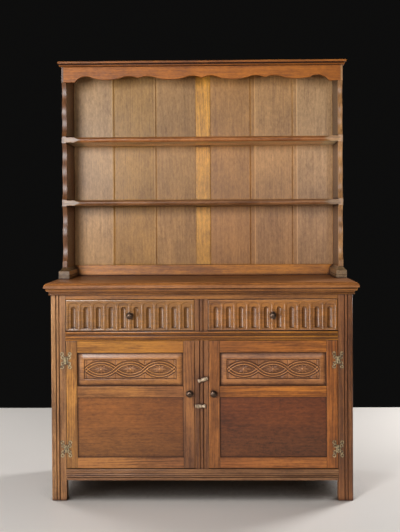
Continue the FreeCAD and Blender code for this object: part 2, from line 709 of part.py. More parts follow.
def rack_shelf(rise):
    # a rounded front edge that runs out to a spear point before each square end, and a groove for plates
    z = (base_height + rise, base_height + rise + rack_shelf_thickness)
    nose = rack_shelf_thickness / 2
    shelf = along_x((-shelf_half, shelf_half), (rack_front + nose, z[0]),
                    [[(rack_front, z[0] + nose), (rack_front + nose, z[1])], [(board_front, z[1])],
                     [(board_front, z[0])]])
    tip = -shelf_half + shelf_flat_end
    end = along_y((rack_front, rack_front + rack_shelf_thickness), (-shelf_half, z[0]),
                  [[(tip - shelf_point_length, z[0])], [(tip, z[0] + nose)], [(tip - shelf_point_length, z[1])],
                   [(-shelf_half, z[1])]])
    end = eased(end, rack_front)
    shelf = bare(shelf.fuse(end).fuse(mirrored(end)))
    groove_y = board_front - plate_groove_inset
    groove = block((-rack_inner, rack_inner), (groove_y, groove_y + plate_groove_width),
                   (z[1] - plate_groove_depth, z[1]))
    return shelf.cut(groove).cut(back_muntin)


shelves = {"lower_shelf": rack_shelf(lower_shelf_rise), "upper_shelf": rack_shelf(upper_shelf_rise)}
pieces.update(shelves)


def bay(low, high):
    # the shaped front edge between two pads: a scoop, a swell and a scoop
    reach = high - low
    scoop = rack_front + side_scoop_depth
    swell = rack_front + side_bump_depth
    turn = (scoop + swell) / 2
    return [[(rack_front + side_step, low)],
            [(scoop, low + scoop_share * reach), (turn, low + turn_share * reach)],
            [(swell, low + bump_share * reach), (turn, high - turn_share * reach)],
            [(scoop, high - scoop_share * reach), (rack_front + side_step, high)],
            [(rack_front, high)]]


pad_rise = (pad_height - rack_shelf_thickness) / 2
foot_top = base_height + foot_slab_height + foot_quirk + foot_block_height + foot_shoulder_height
side_low = base_height + foot_slab_height
levels = [(foot_top + pad_height, base_height + lower_shelf_rise - pad_rise),
          (base_height + lower_shelf_rise - pad_rise + pad_height, base_height + upper_shelf_rise - pad_rise),
          (base_height + upper_shelf_rise - pad_rise + pad_height, frieze_z[0])]
edge = []
for low, high in levels:
    edge += [[(rack_front, low)]] + bay(low, high)
side = along_x((-rack_half, -rack_inner), (rack_front, side_low),
               edge + [[(rack_front, frieze_z[1])], [(back, frieze_z[1])], [(back, side_low)]])
side = side.cut(Part.makeCompound(list(shelves.values()) + [frieze, all_boards]))

# Sledge foot: a slab, a quirk and a block whose shoulder sweeps up to the side
slab_top = base_height + foot_slab_height
block_low = slab_top + foot_quirk
block_top = block_low + foot_block_height


def foot_form(low, high, to_side, from_side):
    # outline across the foot: low and high are its edges, the side stands between the other two
    waist = block_top + foot_shoulder_height / 3
    left_step = low + (to_side - low) / 2
    right_step = high - (high - from_side) / 2
    return (low, base_height), [
        [(low, slab_top)], [(low + foot_quirk, slab_top)], [(low + foot_quirk, block_low)], [(low, block_low)],
        [(low, block_top)], [(left_step, waist), (to_side, foot_top)], [(from_side, foot_top)],
        [(right_step, waist), (high, block_top)], [(high, block_low)], [(high - foot_quirk, block_low)],
        [(high - foot_quirk, slab_top)], [(high, slab_top)], [(high, base_height)]]


foot_front = rack_front - foot_lead
start, steps = foot_form(-rack_half - foot_outer, -rack_inner + foot_inner, -rack_half, -rack_inner)
foot = along_y((foot_front, back), start, steps)
start, steps = foot_form(foot_front, back + foot_lead, rack_front, back)
foot = foot.common(along_x((-rack_half - foot_outer, -rack_inner + foot_inner), start, steps))
foot_tail = (back, back + foot_lead + cut_overrun)
foot = foot.cut(block((-rack_half - foot_outer, rack_half), foot_tail, (0, foot_top)))
foot = foot.cut(side).cut(rack_rail).cut(all_boards)
pieces["rack_side_left"] = side
pieces["rack_side_right"] = mirrored(side)
pieces["rack_foot_left"] = foot
pieces["rack_foot_right"] = mirrored(foot)

os.makedirs("parts", exist_ok=True)
for name, shape in pieces.items():
    shape.exportStep(os.path.join("parts", name + ".step"))
    print(name, len(shape.Solids), round(shape.Volume), shape.isValid())
print("nodes", len(pieces))
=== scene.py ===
import math
import bmesh
import bpy
from mathutils import Matrix, Vector


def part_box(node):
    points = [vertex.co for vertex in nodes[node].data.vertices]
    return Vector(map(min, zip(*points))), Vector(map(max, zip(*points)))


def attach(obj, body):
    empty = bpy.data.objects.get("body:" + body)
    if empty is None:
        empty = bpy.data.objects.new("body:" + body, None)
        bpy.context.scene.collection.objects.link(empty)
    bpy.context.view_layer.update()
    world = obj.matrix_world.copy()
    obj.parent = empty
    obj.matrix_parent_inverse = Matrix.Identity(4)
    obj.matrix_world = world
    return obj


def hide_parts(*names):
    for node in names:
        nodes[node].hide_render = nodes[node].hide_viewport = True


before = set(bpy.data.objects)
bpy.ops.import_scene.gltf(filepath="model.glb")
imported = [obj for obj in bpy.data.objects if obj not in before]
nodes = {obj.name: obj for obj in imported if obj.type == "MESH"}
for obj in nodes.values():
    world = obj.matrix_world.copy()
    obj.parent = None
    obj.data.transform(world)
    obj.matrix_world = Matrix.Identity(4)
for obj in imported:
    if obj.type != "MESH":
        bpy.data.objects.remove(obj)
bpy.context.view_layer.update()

scene = bpy.context.scene
print("frame loaded:", len(nodes), "nodes")

noiseMiddle = 0.5  # noise textures lie about this value


class Wire:
    # wraps a socket, so that shader maths reads as plain expressions
    def __init__(self, tree, socket=None):
        self.tree = tree
        self.socket = socket

    def node(self, kind, settings, inputs, out=0):
        made = self.tree.nodes.new(kind)
        for key, value in settings.items():
            setattr(made, key, value)
        for key, value in inputs.items():
            if isinstance(value, Wire):
                self.tree.links.new(value.socket, made.inputs[key])
            else:
                made.inputs[key].default_value = value
        return Wire(self.tree, made.outputs[out])

    def maths(self, operation, *values, clamp=False):
        settings = {"operation": operation, "use_clamp": clamp}
        return self.node("ShaderNodeMath", settings, dict(enumerate(values)))

    def vector(self, operation, *values, out=0):
        return self.node("ShaderNodeVectorMath", {"operation": operation}, dict(enumerate(values)), out)

    def mix(self, factor, first, second):
        # 6, 7 and 2 are the colour sockets of a Mix node
        settings = {"data_type": "RGBA", "clamp_factor": True}
        return self.node("ShaderNodeMix", settings, {0: factor, 6: first, 7: second}, 2)

    def noise(self, place, size, detail, rough, out=0):
        sized = self.vector("MULTIPLY", place, size)
        inputs = {"Vector": sized, "Scale": 1.0, "Detail": detail, "Roughness": rough}
        return self.node("ShaderNodeTexNoise", {}, inputs, out)

    def hidden(self, reach, samples, **settings):
        # 0 on an open face, 1 in a closed corner or, with inside set, at an outer edge
        settings["samples"] = samples
        return 1.0 - self.node("ShaderNodeAmbientOcclusion", settings, {"Distance": reach}, 1)

    def swing(self):
        # a noise about its middle, so that it goes both ways
        return self - noiseMiddle

    def clamped(self):
        return self.maths("ADD", self, 0.0, clamp=True)

    def band(self, low, high):
        # 0 at low, 1 at high, smooth between
        inputs = {"Value": self, "From Min": low, "From Max": high}
        return self.node("ShaderNodeMapRange", {"interpolation_type": "SMOOTHSTEP"}, inputs)

    def __add__(self, other):
        return self.maths("ADD", self, other)

    def __radd__(self, other):
        return self.maths("ADD", other, self)

    def __sub__(self, other):
        return self.maths("SUBTRACT", self, other)

    def __rsub__(self, other):
        return self.maths("SUBTRACT", other, self)

    def __mul__(self, other):
        return self.maths("MULTIPLY", self, other)

    def __rmul__(self, other):
        return self.maths("MULTIPLY", other, self)


def newMaterial(name):
    material = bpy.data.materials.new(name)
    material.use_nodes = True
    tree = material.node_tree
    return material, Wire(tree), tree.nodes["Principled BSDF"]


def plug(wire, shader, name):
    wire.tree.links.new(wire.socket, shader.inputs[name])


def emboss(wire, shader, height, look):
    inputs = {"Strength": look["bump"], "Distance": look["bumpDepth"], "Height": height}
    plug(wire.node("ShaderNodeBump", {}, inputs), shader, "Normal")


def rgb(colour):
    return (*colour, 1.0)


def tinted(colour, tint):
    if isinstance(colour, Wire):
        return colour.vector("MULTIPLY", colour, tint)
    return rgb(part * share for part, share in zip(colour, tint))


# oak: grain follows the length of each member, and every member is its own board
oakLook = {
    # noises: cells in a metre across, through and along the grain, then detail and roughness
    "warp": ((2.4, 2.4, 0.8), 2.0, 0.5),
    "streaks": ((105.0, 105.0, 2.6), 3.0, 0.62),
    "fibres": ((620.0, 620.0, 13.0), 2.0, 0.6),
    "pores": ((1700.0, 1700.0, 75.0), 1.0, 0.5),
    "patches": ((17.0, 17.0, 7.0), 3.0, 0.6),
    "cloud": ((4.5, 4.5, 3.0), 2.0, 0.5),
    "specks": ((125.0, 125.0, 50.0), 3.0, 0.7),
    "rays": ((46.0, 46.0, 95.0), 2.0, 0.5),
    "rayPatches": ((9.0, 9.0, 5.0), 1.0, 0.5),
    # where they set in
    "poreBand": (0.6, 0.72), "rayBand": (0.0, 0.05), "rayPatchBand": (0.45, 0.65),
    "glintAndWearBand": (0.15, 0.6), "glintAndWearPatchBand": (0.3, 0.6),
    # the log: each board comes from another place in it, with its grain a little bent and leaning
    "step": 0.731, "wrap": 3.0, "sawnShares": (1.0, 0.6, 2.3), "nextAcross": 0.171, "nextAlong": 0.613,
    "bend": (0.06, 0.06, 0.0), "lean": 0.012, "heart": (0.16, -0.112),
    "rings": 150.0, "ringSharp": 3.0, "ringMean": 0.25,
    # how far each of them moves the wood from its even shade, towards dark or pale
    "even": 0.5,
    "weight": {"streaks": 1.7, "fibres": 0.9, "patches": 1.1, "cloud": 1.2, "specks": 2.3, "ring": 0.22},
    # tints of the board's own tone, among them the pale of rubbed edges and painted highlights, and tones
    # of what fills it, among them the dark of wax and painted shade
    "dark": (0.50, 0.45, 0.40), "pale": (1.48, 1.56, 1.58), "ray": (1.75, 1.75, 1.75),
    "rubbedAndHighlit": (1.7, 1.9, 2.1), "crown": 0.95,
    "pore": (0.022, 0.010, 0.005), "poreFill": 0.3, "poreRing": 0.4, "waxAndShade": (0.032, 0.007, 0.001),
    # reach and samples of the painted shade in corners and of the rubbed, glinting edges, and the painted
    # joint highlight's half width with its soft rim
    "crevice": (0.016, 8), "edge": (0.004, 4), "paintedJointHighlight": (0.0020, 0.0036),
    "roughen": {"fibres": 0.16, "pores": 0.18, "hollow": 0.35, "wornAndGlinting": -0.05},
    "raise": {"fibres": 0.4, "ring": 0.3}, "bump": 0.35, "bumpDepth": 0.0004, "specular": 0.35,
}
grainOrder = {"x": "yzx", "y": "xzy", "z": "xyz"}  # axes across, through and along the grain


def boardTone(wire, parts, at, tone, split, fade):
    # past a split the wood has another tone
    ground = rgb(tone)
    axis, changes = split
    for share, nextTone in changes:
        past = wire.maths("GREATER_THAN", parts[axis], at(axis, share))
        ground = wire.mix(past, ground, rgb(nextTone))
    # a tint that changes slowly from one side to the other; on some boards it is painted light and shade
    for axis, start, end, tint in fade:
        faded = parts[axis].band(at(axis, start), at(axis, end))
        ground = wire.mix(faded, ground, tinted(ground, tint))
    return ground


def boardPlace(wire, parts, at, number, grain, split):
    # the wood's own coordinates, and where the heart of the tree lies in them
    across, through, along = (parts[axis] for axis in grainOrder[grain])
    axis, changes = split
    for share, _ in changes:
        past = wire.maths("GREATER_THAN", parts[axis], at(axis, share))
        across = across + past * oakLook["nextAcross"]
        along = along + past * oakLook["nextAlong"]
    shift = (number * oakLook["step"]) % oakLook["wrap"]
    sawn = [shift * share for share in oakLook["sawnShares"]]
    lean = oakLook["lean"] if number % 2 else -oakLook["lean"]
    places = {0: across + along * lean + sawn[0], 1: through + sawn[1], 2: along + sawn[2]}
    board = wire.node("ShaderNodeCombineXYZ", {}, places)
    bend = wire.vector("SUBTRACT", wire.noise(board, *oakLook["warp"], out=1), (noiseMiddle,) * 3)
    board = wire.vector("ADD", board, wire.vector("MULTIPLY", bend, oakLook["bend"]))
    return board, (sawn[0] + oakLook["heart"][0], sawn[1] + oakLook["heart"][1], 0.0)


def growthRings(wire, board, heart):
    # 1 where a ring starts, then falling to 0
    flat = wire.vector("MULTIPLY", wire.vector("SUBTRACT", board, heart), (1.0, 1.0, 0.0))
    radius = wire.vector("LENGTH", flat, out=1)
    return wire.maths("POWER", 1.0 - wire.maths("FRACT", radius * oakLook["rings"]), oakLook["ringSharp"])


def splitLines(wire, parts, at, split):
    axis, changes = split
    lines = 0.0
    for share, _ in changes:
        away = wire.maths("ABSOLUTE", parts[axis] - at(axis, share))
        lines = lines + (1.0 - away.band(*oakLook["paintedJointHighlight"]))
    return lines


def oak(name, number, at, grain, tone, split=("x", ()), fade=(), streak=1.0, speck=0.5, cloudy=1.0,
        fleck=0.0, paintedJointHighlight=0.0, shadeAndDirtBand=(0.08, 0.5), shadeAndGrime=0.95, carved=0.0, wearAndGlint=0.45, rough=0.36,
        coat=0.2, gloss=0.25, dull=1.0, bare=False):
    look = oakLook
    material, wire, shader = newMaterial(name)
    place = wire.node("ShaderNodeTexCoord", {}, {}, "Object")
    parts = {axis: wire.node("ShaderNodeSeparateXYZ", {}, {0: place}, axis.upper()) for axis in "xyz"}
    ground = boardTone(wire, parts, at, tone, split, fade)
    rubbedAndHighlit = tinted(ground, look["rubbedAndHighlit"])
    board, heart = boardPlace(wire, parts, at, number, grain, split)
    ring = growthRings(wire, board, heart)
    streaks = wire.noise(board, *look["streaks"])
    fibres = wire.noise(board, *look["fibres"])
    pores = wire.noise(board, *look["pores"]).band(*look["poreBand"])
    patches = wire.noise(board, *look["patches"])
    cloud = wire.noise(board, *look["cloud"])
    specks = wire.noise(board, *look["specks"])
    weight = look["weight"]
    shade = look["even"] + streaks.swing() * (weight["streaks"] * streak)
    shade = shade + fibres.swing() * (weight["fibres"] * streak)
    shade = shade + patches.swing() * (weight["patches"] * cloudy)
    shade = shade + cloud.swing() * (weight["cloud"] * cloudy)
    shade = shade + specks.swing() * (weight["specks"] * speck)
    shade = shade - (ring - look["ringMean"]) * (weight["ring"] * streak)
    colour = wire.mix(shade.clamped(), tinted(ground, look["dark"]), tinted(ground, look["pale"]))
    if fleck:
        rays = 1.0 - wire.maths("ABSOLUTE", wire.noise(board, *look["rays"]).swing()).band(*look["rayBand"])
        rays = rays * wire.noise(board, *look["rayPatches"]).band(*look["rayPatchBand"])
        colour = wire.mix(rays * fleck, colour, tinted(ground, look["ray"]))
    if paintedJointHighlight:
        # a painted highlight where one tone gives way to the next, near the vee joints, which also lightens
        # their shade
        colour = wire.mix(splitLines(wire, parts, at, split) * paintedJointHighlight, colour, rubbedAndHighlit)
    colour = wire.mix(pores * (look["poreFill"] + ring * look["poreRing"]), colour, rgb(look["pore"]))
    # painted shade: corners, gaps between parts and recesses are darkened towards a dark tone where shade
    # falls, together with wax and dirt
    hollow = wire.hidden(*look["crevice"], only_local=bare).band(*shadeAndDirtBand)
    if carved:
        # dark wax and painted shade lie where the carver's cut is deep, and the crowns, below zero, are
        # rubbed pale with a painted highlight
        waxAndShade = wire.node("ShaderNodeAttribute", {"attribute_name": "waxAndShade"}, {}, "Fac")
        colour = wire.mix((0.0 - waxAndShade).clamped() * look["crown"], colour, rubbedAndHighlit)
        hollow = wire.maths("MAXIMUM", hollow, waxAndShade * carved)
    colour = wire.mix(hollow * shadeAndGrime, colour, rgb(look["waxAndShade"]))
    # rubbed edges: the arrises are lightened for wear and as a painted highlight, a glint along each edge
    wornAndGlinting = wire.hidden(*look["edge"], only_local=True, inside=True).band(*look["glintAndWearBand"])
    wornAndGlinting = wornAndGlinting * (1.0 - hollow) * patches.band(*look["glintAndWearPatchBand"])
    colour = wire.mix(wornAndGlinting * wearAndGlint, colour, rubbedAndHighlit)
    plug(colour, shader, "Base Color")
    roughen = look["roughen"]
    matt = rough + fibres.swing() * roughen["fibres"] + pores * roughen["pores"]
    matt = matt + hollow * roughen["hollow"] + wornAndGlinting * roughen["wornAndGlinting"]
    plug(matt.clamped(), shader, "Roughness")
    emboss(wire, shader, fibres * look["raise"]["fibres"] - pores - ring * look["raise"]["ring"], look)
    plug((1.0 - hollow * dull) * coat, shader, "Coat Weight")
    shader.inputs["Coat Roughness"].default_value = gloss
    shader.inputs["Specular IOR Level"].default_value = look["specular"]
    return material


def dress(names, material):
    for name in names.split():
        mesh = nodes[name].data
        mesh.materials.clear()
        mesh.materials.append(material)


def shareOf(names):
    # gives the place at a share of the boards' box: 0 is its low side and 1 its high side
    boxes = [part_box(name) for name in names.split()]

    def at(axis, share):
        side = "xyz".index(axis)
        low = min(box[0][side] for box in boxes)
        high = max(box[1][side] for box in boxes)
        return low + (high - low) * share

    return at


# tones in linear light, one for each board that the eye can tell apart
# split: an axis, then for each change its share of the box and the tone past it
# fade: an axis, the shares where it starts and ends, and the tint at its end
mouldedRail = {"shadeAndDirtBand": (0.03, 0.30), "wearAndGlint": 1.0}
groovedPost = {"streak": 1.4, "shadeAndDirtBand": (0.06, 0.45), "shadeAndGrime": 0.8, "wearAndGlint": 1.0}
plainPanel = {"cloudy": 0.7, "shadeAndDirtBand": (0.05, 0.30)}
carvedPanel = {"streak": 0.7, "shadeAndDirtBand": (0.04, 0.34), "shadeAndGrime": 0.9, "carved": 0.55, "wearAndGlint": 1.0,
               "coat": 0.35}
flutedFront = {"streak": 0.7, "shadeAndDirtBand": (0.04, 0.42), "shadeAndGrime": 0.85, "carved": 0.3, "coat": 0.9,
               "dull": 0.0, "gloss": 0.22}
rackBoards = {"streak": 0.4, "speck": 0.45, "shadeAndGrime": 0.06, "cloudy": 0.6}
bareWood = {"rough": 0.62, "coat": 0.0, "wearAndGlint": 0.1, "shadeAndGrime": 0.5, "streak": 0.65, "cloudy": 0.7,
            "bare": True}
oakBoards = {
    # its fades are painted light and shade: paler towards the front edge, darker towards the back and
    # towards the bottom of its edge
    "top_board": dict(
        grain="x", tone=(0.242, 0.084, 0.019), streak=0.9, wearAndGlint=0.4, rough=0.5, coat=0.06,
        fade=[("y", 0.711, 0.026, (1.80, 1.78, 1.60)), ("z", 0.857, 0.571, (0.55, 0.55, 0.58))]),
    "under_top_moulding": dict(mouldedRail, grain="x", tone=(0.232, 0.080, 0.013), shadeAndGrime=0.5),
    "top_rail": dict(grain="x", tone=(0.234, 0.082, 0.012)),
    "middle_rail": dict(
        mouldedRail, grain="x", tone=(0.261, 0.085, 0.004), fade=[("x", 0.454, 0.911, (1.15, 1.25, 1.7))]),
    "bottom_rail": dict(
        mouldedRail, grain="x", tone=(0.172, 0.073, 0.028), fade=[("x", 0.637, 1.003, (1.4, 1.5, 1.6))]),
    # the right leg's tone, darker than the left leg's, is painted shade: one oak, shaded where less light
    # falls on it
    "front_leg_left": dict(
        groovedPost, grain="z", tone=(0.285, 0.129, 0.045), fade=[("x", 0.281, 0.596, (0.78, 0.73, 0.70))]),
    "front_leg_right": dict(groovedPost, grain="z", tone=(0.152, 0.052, 0.015)),
    "rear_leg_left rear_leg_right": dict(grain="z", tone=(0.20, 0.090, 0.038)),
    "drawer_muntin": dict(groovedPost, grain="z", tone=(0.174, 0.063, 0.017)),
    "door_muntin": dict(groovedPost, grain="z", tone=(0.156, 0.056, 0.017)),
    "end_rails_left end_rails_right": dict(grain="y", tone=(0.21, 0.095, 0.040)),
    "end_panel_left end_panel_right": dict(grain="z", tone=(0.20, 0.088, 0.036), cloudy=1.3),
    "left_door_stiles": dict(
        grain="z", tone=(0.341, 0.138, 0.025), streak=1.5, wearAndGlint=0.9,
        split=("x", [(0.495, (0.214, 0.078, 0.021))]), fade=[("z", 0.591, -0.011, (0.66, 0.66, 0.82))]),
    "right_door_stiles": dict(
        grain="z", tone=(0.235, 0.077, 0.015), streak=1.6, wearAndGlint=0.9,
        split=("x", [(0.505, (0.252, 0.075, 0.011))])),
    "left_door_rails": dict(
        grain="x", tone=(0.256, 0.095, 0.022), streak=1.7, wearAndGlint=0.9,
        split=("z", [(0.350, (0.264, 0.099, 0.021)), (0.852, (0.318, 0.119, 0.011))]),
        fade=[("x", 0.450, 0.939, (0.72, 0.66, 0.80))]),
    "right_door_rails": dict(
        grain="x", tone=(0.202, 0.062, 0.013), streak=1.7, wearAndGlint=0.9,
        split=("z", [(0.350, (0.227, 0.068, 0.008)), (0.852, (0.183, 0.054, 0.007))]),
        fade=[("x", 0.017, 0.861, (1.5, 1.55, 1.35))]),
    "left_door_plain_panel": dict(
        plainPanel, grain="x", tone=(0.208, 0.065, 0.009), streak=0.45, speck=0.6,
        fade=[("x", 0.169, 0.959, (0.72, 0.66, 0.64)), ("z", 0.796, 0.078, (0.80, 0.88, 1.03))]),
    "right_door_plain_panel": dict(
        plainPanel, grain="x", tone=(0.118, 0.027, 0.004), streak=0.55, speck=0.85, fleck=0.35,
        fade=[("z", 0.836, 0.118, (0.78, 0.95, 1.15))]),
    "left_door_carved_panel": dict(carvedPanel, grain="x", tone=(0.294, 0.112, 0.027)),
    "right_door_carved_panel": dict(carvedPanel, grain="x", tone=(0.287, 0.106, 0.030)),
    "left_drawer_front": dict(
        flutedFront, grain="x", tone=(0.237, 0.090, 0.008), fade=[("x", 0.015, 0.955, (0.74, 0.71, 0.80))]),
    "right_drawer_front": dict(flutedFront, grain="x", tone=(0.265, 0.092, 0.010)),
    "rack_top": dict(
        mouldedRail, grain="x", tone=(0.269, 0.077, 0.005), rough=0.48, coat=0.05, wearAndGlint=0.9),
    "frieze": dict(grain="x", tone=(0.338, 0.096, 0.005), streak=0.8, rough=0.5, coat=0.05),
    # at both shelves' ends the tints are painted: a grey sheen on the flat spear ends, and on the upper
    # shelf's left end a darker tint that dims the glint there
    "lower_shelf": dict(
        grain="x", tone=(0.247, 0.104, 0.041), coat=0.15,
        fade=[("x", 0.065, 0.048, (1.08, 1.28, 1.20)), ("x", 0.935, 0.952, (0.95, 1.25, 1.60))]),
    "upper_shelf": dict(  # painted light: its underside, below the split, has a paler tone, and the shelf grows paler towards the back
        grain="x", tone=(0.500, 0.275, 0.125), coat=0.15, shadeAndGrime=0.4,
        split=("z", [(0.032, (0.400, 0.144, 0.041))]),
        fade=[("y", 0.102, 0.663, (1.80, 1.85, 1.85)), ("x", 0.065, 0.048, (0.50, 0.62, 0.66)),
              ("x", 0.935, 0.952, (1.00, 1.40, 1.85))]),
    # tones of the rack's boards change where the photograph shows it, a little outside the vee joints
    # the fades of the boards and of the muntin are painted light and shade: darker towards the bottom,
    # paler and greyer towards the top where the lamps' sheen falls
    "back_boards_left": dict(
        rackBoards, grain="z", tone=(0.412, 0.236, 0.102), rough=0.5, coat=0.08, paintedJointHighlight=0.3,
        split=("x", [(0.3179, (0.338, 0.173, 0.044)), (0.6540, (0.334, 0.175, 0.061))]),
        fade=[("z", 0.728, 0.133, (1.05, 0.96, 0.85))]),
    "back_boards_right": dict(
        rackBoards, grain="z", tone=(0.390, 0.185, 0.051), rough=0.42, paintedJointHighlight=0.7,
        split=("x", [(0.3697, (0.423, 0.219, 0.077)), (0.7021, (0.444, 0.254, 0.111))]),
        fade=[("z", 0.847, 0.133, (0.83, 0.73, 0.71))]),
    "back_muntin": dict(
        grain="z", tone=(0.587, 0.262, 0.027), streak=0.8, fade=[("z", 0.668, 0.133, (0.76, 0.74, 0.84))]),
    "rack_back_rail": dict(grain="x", tone=(0.413, 0.138, 0.012)),
    "rack_side_left": dict(grain="z", tone=(0.135, 0.049, 0.015), coat=0.14, gloss=0.30),
    # its dark tone is painted shade on the inner face, and its pale fade towards the front edge a painted
    # highlight
    "rack_side_right": dict(
        grain="z", tone=(0.085, 0.027, 0.007), coat=0.5, gloss=0.24,
        fade=[("y", 0.176, 0.068, (4.3, 6.4, 9.0))]),
    "rack_foot_left rack_foot_right": dict(
        grain="y", tone=(0.143, 0.077, 0.032), coat=0.4, gloss=0.22,
        split=("x", [(0.5, (0.200, 0.118, 0.055))])),
    # wood that is out of sight stays bare
    "back_rails": dict(bareWood, grain="x", tone=(0.24, 0.140, 0.070)),
    "back_panels": dict(bareWood, grain="x", tone=(0.30, 0.190, 0.105)),
    "cupboard_floor": dict(bareWood, grain="x", tone=(0.30, 0.190, 0.100)),
    "cupboard_shelf": dict(bareWood, grain="x", tone=(0.29, 0.175, 0.090)),
    "shelf_bearers side_runners centre_runner": dict(bareWood, grain="y", tone=(0.30, 0.185, 0.095)),
    "drawer_kicker": dict(bareWood, grain="y", tone=(0.30, 0.185, 0.095)),
    "left_drawer_sides_and_back right_drawer_sides_and_back": dict(
        bareWood, grain="y", tone=(0.33, 0.215, 0.115)),
    "left_drawer_bottom right_drawer_bottom": dict(bareWood, grain="x", tone=(0.36, 0.245, 0.140)),
}
for number, (names, board) in enumerate(oakBoards.items(), 1):
    dress(names, oak(names.split()[0] + "Oak", number, shareOf(names), **board))
print("oak in", len(oakBoards), "tones")

# knobs and fittings: bright where they are rubbed, tarnished in patches and corners
metalLook = {
    "cloud": ((160.0, 160.0, 160.0), 3.0, 0.6), "fine": ((900.0, 900.0, 900.0), 2.0, 0.6),
    "cloudBand": (0.38, 0.68), "corner": (0.004, 6), "cornerBand": (0.1, 0.7), "cornerTarnish": 0.8,
    "tarnishRough": 0.25, "fineRough": 0.12, "tarnishDull": 0.45,
    "cloudRaise": 0.6, "bump": 0.2, "bumpDepth": 0.0003,
}
fittings = {
    "knobDark": dict(
        light=(0.110, 0.070, 0.048), dark=(0.022, 0.014, 0.010), rough=0.24, patina=0.7, polish=1.0),
    "agedBrass": dict(
        light=(0.44, 0.34, 0.19), dark=(0.026, 0.018, 0.009), rough=0.36, patina=1.05, polish=0.55),
    "turnedBrass": dict(
        light=(0.50, 0.37, 0.25), dark=(0.150, 0.095, 0.055), rough=0.42, patina=0.45, polish=0.35),
}
fittingNodes = {
    "knobDark": "left_drawer_knob right_drawer_knob left_door_knob right_door_knob",
    "agedBrass": "hinge_leg_leaves hinge_pins left_door_hinge_leaves right_door_hinge_leaves"
                 " turn_button_screws",
    "turnedBrass": "upper_turn_button lower_turn_button",
}


def metal(name, light, dark, rough, patina, polish):
    look = metalLook
    material, wire, shader = newMaterial(name)
    place = wire.node("ShaderNodeTexCoord", {}, {}, "Object")
    cloud = wire.noise(place, *look["cloud"])
    fine = wire.noise(place, *look["fine"])
    hollow = wire.hidden(*look["corner"], only_local=True).band(*look["cornerBand"])
    tarnish = (cloud.band(*look["cloudBand"]) * patina + hollow * look["cornerTarnish"]).clamped()
    plug(wire.mix(tarnish, rgb(light), rgb(dark)), shader, "Base Color")
    matt = rough + tarnish * look["tarnishRough"] + fine.swing() * look["fineRough"]
    plug(matt.clamped(), shader, "Roughness")
    plug((polish - tarnish * look["tarnishDull"]).clamped(), shader, "Metallic")
    emboss(wire, shader, fine + cloud * look["cloudRaise"], look)
    return material


for name, nodeNames in fittingNodes.items():
    dress(nodeNames, metal(name, **fittings[name]))
print("metal in", len(fittings), "finishes")

# soft arrises on the sawn boards
softEdge = {"weld": 0.00002, "width": 0.0010, "angle": 38.0, "segments": 2,
            "round": "rack_side_left rack_side_right", "roundWidth": 0.0058, "roundSegments": 5}
for name in " ".join(oakBoards).split():
    weld = nodes[name].modifiers.new("weld", "WELD")
    weld.merge_threshold = softEdge["weld"]
    ease = nodes[name].modifiers.new("ease", "BEVEL")
    rounded = name in softEdge["round"].split()
    ease.width = softEdge["roundWidth" if rounded else "width"]
    ease.segments = softEdge["roundSegments" if rounded else "segments"]
    ease.limit_method = "ANGLE"
    ease.angle_limit = math.radians(softEdge["angle"])
    ease.harden_normals = False
print("arrises softened")


# carved work: a fine grid is pressed into relief, then given its thickness
slabLook = {"smoothBelow": -0.2}  # faces turned to the front are smooth, the walls and the back are flat


def reliefSlab(name, columns, rows, faceY, backY, relief):
    bm = bmesh.new()
    waxAndShadeLayer = bm.verts.layers.float.new("waxAndShade")
    bmesh.ops.create_grid(bm, x_segments=len(columns) - 1, y_segments=len(rows) - 1, size=1.0)
    for v in bm.verts:
        x = columns[round((v.co.x + 1) / 2 * (len(columns) - 1))]
        z = rows[round((v.co.y + 1) / 2 * (len(rows) - 1))]
        depth, v[waxAndShadeLayer] = relief(x, z)
        v.co = (x, faceY + depth, z)
    rim = [e for e in bm.edges if e.is_boundary]
    walls = bmesh.ops.extrude_edge_only(bm, edges=rim)["geom"]
    for v in [g for g in walls if isinstance(g, bmesh.types.BMVert)]:
        v.co.y = backY
    bmesh.ops.edgeloop_fill(bm, edges=[e for e in bm.edges if e.is_boundary])
    bmesh.ops.recalc_face_normals(bm, faces=bm.faces)
    for f in bm.faces:
        f.smooth = len(f.verts) == 4 and f.normal.y < slabLook["smoothBelow"]
    mesh = bpy.data.meshes.new(name)
    bm.to_mesh(mesh)
    bm.free()
    piece = bpy.data.objects.new(name, mesh)
    scene.collection.objects.link(piece)
    return piece


def fitCarving(piece, node, body):
    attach(piece, body)
    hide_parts(node)
    piece.data.materials.append(nodes[node].data.materials[0])
    print(piece.name, len(piece.data.polygons), "faces")


def stations(stops):
    # grid lines: each stop is a place and the step from there to the next one
    lines = []
    for (low, step), (high, _) in zip(stops, stops[1:]):
        count = max(1, round((high - low) / step))
        lines += [low + (high - low) * k / count for k in range(count)]
    return lines + [stops[-1][0]]


def ramp(value, low, high):
    share = min(1.0, max(0.0, (value - low) / (high - low)))
    return share * share * (3 - 2 * share)


def dome(share):
    # a quarter circle: 1 in the middle, 0 from a share of 1 on
    return math.sqrt(max(0.0, 1 - share * share))


